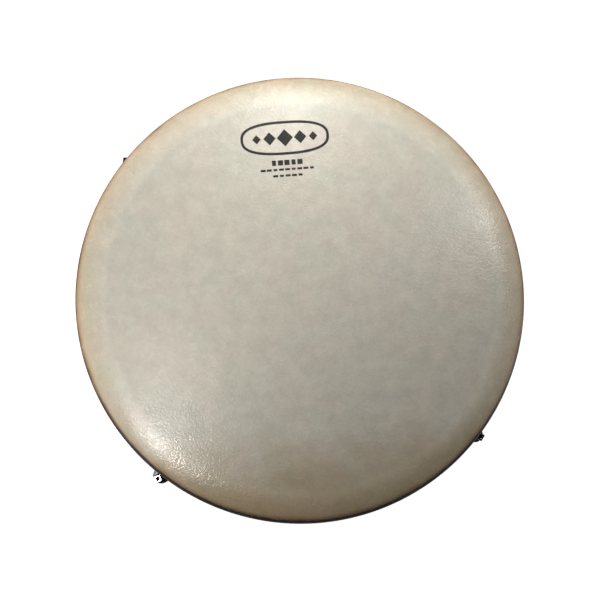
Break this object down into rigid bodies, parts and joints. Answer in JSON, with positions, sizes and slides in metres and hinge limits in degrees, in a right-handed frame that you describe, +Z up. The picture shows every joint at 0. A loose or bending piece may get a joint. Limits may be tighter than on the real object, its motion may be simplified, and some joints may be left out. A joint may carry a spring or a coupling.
{
  "type": "key-tuned goblet hand drum",
  "caption": "Goblet hand drum with a mottled film head, held by a black angle counterhoop and key-tuned rods over a stained wooden shell with an open foot.",
  "frame": {"origin": "centre of the bounding box at floor level: on the drum's axis, under the foot ring", "axes": "+Z up along the drum's axis from foot to head; the tension rods stand 52, 142, 232 and 322 degrees from +X towards +Y"},
  "size_m": [0.3248, 0.3248, 0.61],
  "materials": {
    "stained_wood": "satin lacquer over dark brown stain",
    "mottled_film": "mottled cream parchment-like film, satin",
    "plain_aluminium": "plain rolled",
    "black_enamel": "gloss black enamel",
    "chrome": "polished plating",
    "zinc_steel": "dull zinc plating",
    "black_rubber": "matte"
  },
  "bodies": {
    "drum": {"shell": "stained_wood", "head_film": "mottled_film", "lug_bracket_1": "black_enamel", "lug_nut_1": "chrome", "lug_gasket_1": "black_rubber", "lug_backing_plate_1": "zinc_steel", "lug_bolt_1_upper": "black_enamel", "lug_bolt_nut_1_upper": "zinc_steel", "lug_bolt_1_lower": "black_enamel", "lug_bolt_nut_1_lower": "zinc_steel", "lug_bracket_2": "black_enamel", "lug_nut_2": "chrome", "lug_gasket_2": "black_rubber", "lug_backing_plate_2": "zinc_steel", "lug_bolt_2_upper": "black_enamel", "lug_bolt_nut_2_upper": "zinc_steel", "lug_bolt_2_lower": "black_enamel", "lug_bolt_nut_2_lower": "zinc_steel", "lug_bracket_3": "black_enamel", "lug_nut_3": "chrome", "lug_gasket_3": "black_rubber", "lug_backing_plate_3": "zinc_steel", "lug_bolt_3_upper": "black_enamel", "lug_bolt_nut_3_upper": "zinc_steel", "lug_bolt_3_lower": "black_enamel", "lug_bolt_nut_3_lower": "zinc_steel", "lug_bracket_4": "black_enamel", "lug_nut_4": "chrome", "lug_gasket_4": "black_rubber", "lug_backing_plate_4": "zinc_steel", "lug_bolt_4_upper": "black_enamel", "lug_bolt_nut_4_upper": "zinc_steel", "lug_bolt_4_lower": "black_enamel", "lug_bolt_nut_4_lower": "zinc_steel", "foot_ring": "black_rubber", "foot_ring_screw_1": "zinc_steel", "foot_ring_screw_2": "zinc_steel", "foot_ring_screw_3": "zinc_steel", "foot_ring_screw_4": "zinc_steel", "foot_ring_screw_5": "zinc_steel", "foot_ring_screw_6": "zinc_steel"},
    "hoop": {"counterhoop": "black_enamel", "flesh_hoop": "plain_aluminium", "rod_washer_1": "black_enamel", "rod_washer_2": "black_enamel", "rod_washer_3": "black_enamel", "rod_washer_4": "black_enamel"},
    "rod_1": {"tension_rod_1": "chrome"},
    "rod_2": {"tension_rod_2": "chrome"},
    "rod_3": {"tension_rod_3": "chrome"},
    "rod_4": {"tension_rod_4": "chrome"}
  },
  "joints": [
    {"name": "hoop_travel", "type": "slide", "parent": "drum", "child": "hoop", "axis": [0, 0, -1], "range_m": [-0.003, 0.004]},
    {"name": "rod_1_turn", "type": "hinge", "parent": "hoop", "child": "rod_1", "pos_m": [0.10023, 0.12829, 0.582], "axis": [0, 0, -1], "range_deg": [-1030, 1370]},
    {"name": "rod_2_turn", "type": "hinge", "parent": "hoop", "child": "rod_2", "pos_m": [-0.12829, 0.10023, 0.582], "axis": [0, 0, -1], "range_deg": [-1030, 1370]},
    {"name": "rod_3_turn", "type": "hinge", "parent": "hoop", "child": "rod_3", "pos_m": [-0.10023, -0.12829, 0.582], "axis": [0, 0, -1], "range_deg": [-1030, 1370]},
    {"name": "rod_4_turn", "type": "hinge", "parent": "hoop", "child": "rod_4", "pos_m": [0.12829, -0.10023, 0.582], "axis": [0, 0, -1], "range_deg": [-1030, 1370]}
  ],
  "couplings": [
    {"joint": "rod_1_turn", "follows": "hoop_travel", "rad_per_m": 5936.9},
    {"joint": "rod_2_turn", "follows": "hoop_travel", "rad_per_m": 5936.9},
    {"joint": "rod_3_turn", "follows": "hoop_travel", "rad_per_m": 5936.9},
    {"joint": "rod_4_turn", "follows": "hoop_travel", "rad_per_m": 5936.9}
  ]
}
